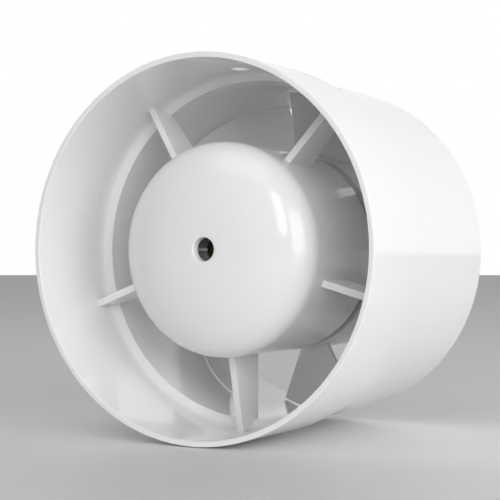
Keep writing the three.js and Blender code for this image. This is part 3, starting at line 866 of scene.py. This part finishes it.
def long_screw(name, degrees, tip, stands_for):
    """A slotted cheese-head screw with thread on its front end."""
    outline = [(0.0, tip), (1.0, tip)]
    for k in range(THREAD_TURNS):
        crest = tip + 0.3 + THREAD_PITCH * k
        outline += [(THREAD_RADIUS, crest), (THREAD_ROOT, crest + 0.3)]
    outline += [(THREAD_RADIUS, tip + 8.0), (THREAD_RADIUS, HEAD_FRONT)]
    outline += [
        (HEAD_RADIUS - 0.15, HEAD_FRONT), (HEAD_RADIUS, HEAD_FRONT + 0.15), (HEAD_RADIUS, HEAD_REAR - 0.4),
        (HEAD_RADIUS - 0.1, HEAD_REAR - 0.15), (HEAD_RADIUS - 0.35, HEAD_REAR), (0.0, HEAD_REAR),
    ]
    bm = shifted(revolved(outline, 40), degrees)
    thing = piece(name, bm, plated_finish, "casing", stands_for)
    slot = block((0.0, HEAD_REAR, 0.0), (6.0, 1.4, 0.7))
    combined(thing, shifted(slot, degrees))
    return smooth_shaded(thing, 35)


def hex_nut(name, degrees, stands_for):
    """A six-sided bar with its corners chamfered off and its hole drilled."""
    bm = shifted(bar(NUT_RADIUS, NUT_FRONT, NUT_REAR, segments=6), degrees)
    thing = piece(name, bm, plated_finish, "casing", stands_for)
    chamfer = revolved([(0.0, 15.9), (2.6, 15.9), (3.3, 16.5), (3.3, 17.7), (2.6, 18.3), (0.0, 18.3)], 48)
    combined(thing, shifted(chamfer, degrees), "INTERSECT")
    combined(thing, shifted(bar(CLEARANCE_HOLE, NUT_FRONT - 1.0, NUT_REAR + 0.8), degrees))
    return smooth_shaded(thing, 30)


def rubber_washer(name, degrees, stands_for):
    outline = rounded(ring_section(CLEARANCE_HOLE, WASHER_RADIUS, WASHER_FRONT, WASHER_REAR), 0.3)
    bm = shifted(revolved(outline, 48), degrees)
    thing = piece(name, bm, rubber_finish, "casing", stands_for)
    return smooth_shaded(thing, 60)


plated_finish = plated_steel()
rubber_finish = black_rubber()
for number, degrees in enumerate(BOLT_ANGLES, 1):
    long_screw(f"clamp_bolt_{number}", degrees, BOLT_TIP, f"motor_bolt_{number}")
    hex_nut(f"clamp_nut_{number}", degrees, f"motor_nut_{number}")
for number, degrees in enumerate(SCREW_ANGLES, 1):
    long_screw(f"fixing_screw_{number}", degrees, SCREW_TIP, f"housing_screw_{number}")
    rubber_washer(f"rubber_washer_{number}", degrees, f"vibration_washer_{number}")

# ---------------------------------------------------------------------------
# Wiring
# A nylon terminal block with two clamping screws, a thermal fuse in a woven sleeve by
# the windings, and three sleeved jumpers that join the coils in series.

WIRING_RADIUS = 15.6
FUSE_RADIUS = 1.5
FUSE_HALF_LENGTH = 4.0
FUSE_STATION = 19.5
JUMPER_ANGLES = (45, 135, 225)
JUMPER_SPAN = 36
JUMPER_RADIUS = 0.58
JUMPER_STATION = 41.2
JUMPER_ARCH = 0.4


def woven_sleeve():
    """Glass-fibre sleeving: a tight cream weave."""
    finish = Finish("woven_sleeve")
    threads = {"Vector": finish.place, "Scale": 700.0, "Distortion": 1.0}
    warp = finish.node("TexWave", {"bands_direction": "Z"}, threads)
    weft = finish.node("TexWave", {"bands_direction": "X"}, threads)
    weave = warp * weft
    finish.set(Base_Color=finish.blend(weave, (0.52, 0.48, 0.38, 1.0), (0.80, 0.77, 0.66, 1.0)))
    finish.set(Roughness=(weave * 0.2 + 0.6).clamped())
    return finish.relief(weave, 0.5, 0.00008)


def wire_sleeve():
    """Black PVC insulation with a soft sheen."""
    finish = Finish("black_pvc")
    scuff = finish.speckle(600.0, 3.0)
    finish.set(Base_Color=finish.blend(scuff, (0.015, 0.015, 0.016, 1.0), (0.04, 0.04, 0.042, 1.0)))
    finish.set(Roughness=(scuff * 0.25 + 0.3).clamped())
    return finish.relief(scuff, 0.15, 0.00003)


def terminal_nylon():
    """White glass-filled nylon with a faint fibre pattern."""
    finish = Finish("terminal_nylon")
    fibres = finish.speckle(800.0, 3.0, squeeze=(1.0, 0.2, 1.0))
    finish.set(Base_Color=finish.blend(fibres, (0.70, 0.70, 0.66, 1.0), (0.82, 0.82, 0.79, 1.0)))
    finish.set(Roughness=(fibres * 0.2 + 0.4).clamped())
    return finish.relief(fibres, 0.2, 0.00004)


def thermal_fuse():
    """A round-ended body, made about the origin and then stood upright by a winding."""
    outline = rounded(ring_section(0.0, FUSE_RADIUS, -FUSE_HALF_LENGTH, FUSE_HALF_LENGTH), 0.45)
    bm = revolved([(radius, along - front_y / MM) for radius, along in outline], 40)
    bmesh.ops.rotate(bm, verts=bm.verts, cent=(0, 0, 0), matrix=Matrix.Rotation(math.pi / 2, 3, "X"))
    bmesh.ops.translate(bm, verts=bm.verts, vec=(-WIRING_RADIUS * MM, station(FUSE_STATION), 0.0))
    thing = piece("fuse_body", bm, sleeve_finish, "casing", "thermal_fuse")
    return smooth_shaded(thing, 40)


def coil_link(number, degrees):
    """A sleeved wire that arches from one coil to the next."""
    path = []
    for k in range(33):
        t = k / 32
        angle = math.radians(degrees - JUMPER_SPAN / 2 + JUMPER_SPAN * t)
        lift = JUMPER_STATION + JUMPER_ARCH * math.sin(math.pi * t)
        out = WIRING_RADIUS * MM
        path.append(Vector((out * math.cos(angle), station(lift), out * math.sin(angle))))
    bm = bmesh.new()
    swept(bm, path, JUMPER_RADIUS * MM, 14, False)
    bmesh.ops.recalc_face_normals(bm, faces=bm.faces)
    thing = piece(f"jumper_{number}", bm, pvc_finish, "casing", f"coil_link_{number}")
    return smooth_shaded(thing, 50)


sleeve_finish = woven_sleeve()
pvc_finish = wire_sleeve()
terminal_finish = terminal_nylon()
dressed("terminal_block", terminal_finish, 0.3)
dressed("terminal_screw_live", plated_finish, 0.12)
dressed("terminal_screw_neutral", plated_finish, 0.12)
thermal_fuse()
for number, degrees in enumerate(JUMPER_ANGLES, 1):
    coil_link(number, degrees)

# ---------------------------------------------------------------------------
# Shaft and rotor
# A ground steel shaft with a flat at its rear end carries the rotor: a laminated core
# between cast aluminium end rings, with a nylon thrust washer at each end.

SHAFT_RADIUS = 2.0
SHAFT_FRONT = 16.2
SHAFT_REAR = 74.0
ROTOR_RADIUS = 10.5
ROTOR_BORE = 2.3
RING_INNER = 4.5
RING_OUTER = 10.2
RING_FRONT = 23.3
RING_REAR = 24.7
THRUST_OUTER = 4.0
THRUST_FRONT = 22.3
THRUST_REAR = 23.0
ROTOR_SLOTS = 14
SLOT_WIDTH = 0.45
SLOT_SKEW = 12


def ground_steel():
    """Centreless-ground steel: very fine rings round the shaft."""
    finish = Finish("ground_steel")
    rings = finish.speckle(5000.0, 2.0, squeeze=(0.02, 1.0, 0.02))
    film = finish.speckle(200.0, 2.0)
    finish.set(Base_Color=finish.blend(film, (0.56, 0.57, 0.58, 1.0), (0.68, 0.68, 0.69, 1.0)))
    finish.set(Metallic=1.0, Roughness=(rings * 0.2 + 0.12).clamped())
    return finish.relief(rings, 0.1, 0.00001)


def cast_aluminium():
    """Pressure-cast aluminium: pale, with flow marks and a matt skin."""
    finish = Finish("cast_aluminium")
    flow = finish.speckle(350.0, 5.0, 0.6)
    finish.set(Base_Color=finish.blend(flow, (0.50, 0.51, 0.52, 1.0), (0.72, 0.73, 0.74, 1.0)))
    finish.set(Metallic=1.0, Roughness=(flow * 0.25 + 0.35).clamped())
    return finish.relief(flow, 0.25, 0.00006)


def motor_shaft():
    """The shaft with chamfered ends and the flat that the impeller's boss grips."""
    outline = [
        (0.0, SHAFT_FRONT), (SHAFT_RADIUS - 0.3, SHAFT_FRONT), (SHAFT_RADIUS, SHAFT_FRONT + 0.3),
        (SHAFT_RADIUS, SHAFT_REAR - 0.4), (SHAFT_RADIUS - 0.4, SHAFT_REAR), (0.0, SHAFT_REAR),
    ]
    thing = piece("ground_shaft", revolved(outline, 64), shaft_finish, "rotor", "motor_shaft")
    combined(thing, block((0.0, 67.0, 2.6), (6.0, 16.0, 2.0)))
    return smooth_shaded(thing, 35)


def rotor_core():
    """The laminated core with the mouths of its skewed slots cut in its rim."""
    bm = revolved(ring_section(ROTOR_BORE, ROTOR_RADIUS, STACK_FRONT, STACK_REAR), 96)
    thing = piece("rotor_laminations", bm, rotor_finish, "rotor", "rotor_core")
    skew = Matrix.Rotation(math.radians(SLOT_SKEW), 3, "X")
    for k in range(ROTOR_SLOTS):
        slot = bmesh.new()
        bmesh.ops.create_cube(slot, size=1.0)
        bmesh.ops.scale(slot, verts=slot.verts, vec=Vector((1.0, 14.0, SLOT_WIDTH)) * MM)
        bmesh.ops.rotate(slot, verts=slot.verts, cent=(0, 0, 0), matrix=skew)
        bmesh.ops.translate(slot, verts=slot.verts, vec=(ROTOR_RADIUS * MM, station(STACK_MIDDLE), 0.0))
        combined(thing, turned(slot, k * 360 / ROTOR_SLOTS))
    return smooth_shaded(thing, 35)


def end_ring(name, front, back, stands_for):
    outline = rounded(ring_section(RING_INNER, RING_OUTER, front, back), 0.35)
    thing = piece(name, revolved(outline, 80), aluminium_finish, "rotor", stands_for)
    return smooth_shaded(thing, 40)


def thrust_washer(name, front, back, stands_for):
    outline = rounded(ring_section(ROTOR_BORE, THRUST_OUTER, front, back), 0.12)
    thing = piece(name, revolved(outline, 56), thrust_finish, "rotor", stands_for)
    return smooth_shaded(thing, 40)


shaft_finish = ground_steel()
aluminium_finish = cast_aluminium()
rotor_finish = varnished_laminations(
    "turned_laminations", (0.22, 0.21, 0.20, 1.0), (0.34, 0.34, 0.34, 1.0))
thrust_finish = natural_nylon("thrust_nylon", (0.72, 0.68, 0.56))
motor_shaft()
rotor_core()
end_ring("end_ring_casting_front", RING_FRONT, RING_REAR, "rotor_end_ring_front")
end_ring("end_ring_casting_rear", mirrored(RING_REAR), mirrored(RING_FRONT), "rotor_end_ring_rear")
thrust_washer("thrust_disc_front", THRUST_FRONT, THRUST_REAR, "thrust_washer_front")
thrust_washer("thrust_disc_rear", mirrored(THRUST_REAR), mirrored(THRUST_FRONT), "thrust_washer_rear")
dressed("hub_clip", spring_finish, 0.15)

# ---------------------------------------------------------------------------
# Floor and light
# A pale satin floor in a dim room that is white behind the fan. Four soft boxes: a small
# one for the dome's highlight, a large one on the right for the bright side of the tube,
# one further round, and one from above.

FLOOR_RADIUS = 4.0
FLOOR_GAP = 0.0002


def pale_floor():
    bm = bmesh.new()
    bmesh.ops.create_circle(bm, cap_ends=True, segments=96, radius=FLOOR_RADIUS)
    bmesh.ops.translate(bm, verts=bm.verts, vec=(0.0, 0.0, cad_box[0][2] - FLOOR_GAP))
    mesh = bpy.data.meshes.new("floor")
    bm.to_mesh(mesh)
    bm.free()
    thing = bpy.data.objects.new("floor", mesh)
    bpy.context.scene.collection.objects.link(thing)
    finish = Finish("pale_floor")
    cloud = finish.speckle(3.0)
    finish.set(Base_Color=finish.blend(cloud, (0.77, 0.77, 0.77, 1.0), (0.79, 0.79, 0.79, 1.0)))
    finish.set(Roughness=0.45, IOR=1.5)
    mesh.materials.append(finish.material)


def soft_box(name, azimuth, elevation, distance, width, height, power):
    """A rectangular lamp aimed at the fan; azimuth runs from the mouth's side, -Y, towards +X."""
    light = bpy.data.lights.new(name, "AREA")
    light.shape = "RECTANGLE"
    light.size = width
    light.size_y = height
    light.energy = power
    lamp = bpy.data.objects.new(name, light)
    bpy.context.scene.collection.objects.link(lamp)
    around, up = math.radians(azimuth), math.radians(elevation)
    direction = Vector((math.sin(around) * math.cos(up), -math.cos(around) * math.cos(up), math.sin(up)))
    lamp.location = direction * distance
    lamp.rotation_euler = (-direction).to_track_quat("-Z", "Y").to_euler()


def white_room(fill, backdrop):
    """A dim white room that is bright behind the fan."""
    world = bpy.data.worlds.new("room")
    world.use_nodes = True
    tree = world.node_tree
    direction = tree.nodes.new("ShaderNodeTexCoord")
    split = tree.nodes.new("ShaderNodeSeparateXYZ")
    tree.links.new(direction.outputs["Generated"], split.inputs[0])
    ramp = tree.nodes.new("ShaderNodeMapRange")
    ramp.interpolation_type = "SMOOTHSTEP"
    tree.links.new(split.outputs["Y"], ramp.inputs["Value"])
    ramp.inputs["From Min"].default_value = 0.45
    ramp.inputs["From Max"].default_value = 0.75
    ramp.inputs["To Min"].default_value = fill
    ramp.inputs["To Max"].default_value = backdrop
    tree.links.new(ramp.outputs[0], tree.nodes["Background"].inputs["Strength"])
    tree.nodes["Background"].inputs["Color"].default_value = (1.0, 1.0, 1.0, 1.0)
    bpy.context.scene.world = world


pale_floor()
white_room(fill=0.08, backdrop=1.0)
soft_box("front_box", 16, 21, 1.0, 0.20, 0.44, 1.5)
soft_box("key_box", 58, 9, 1.2, 1.35, 0.85, 14.0)
soft_box("side_box", 112, -1, 1.2, 1.0, 1.0, 3.2)
soft_box("top_box", -15, 54, 1.2, 0.8, 0.8, 2.4)
bpy.context.scene.view_settings.view_transform = "Standard"
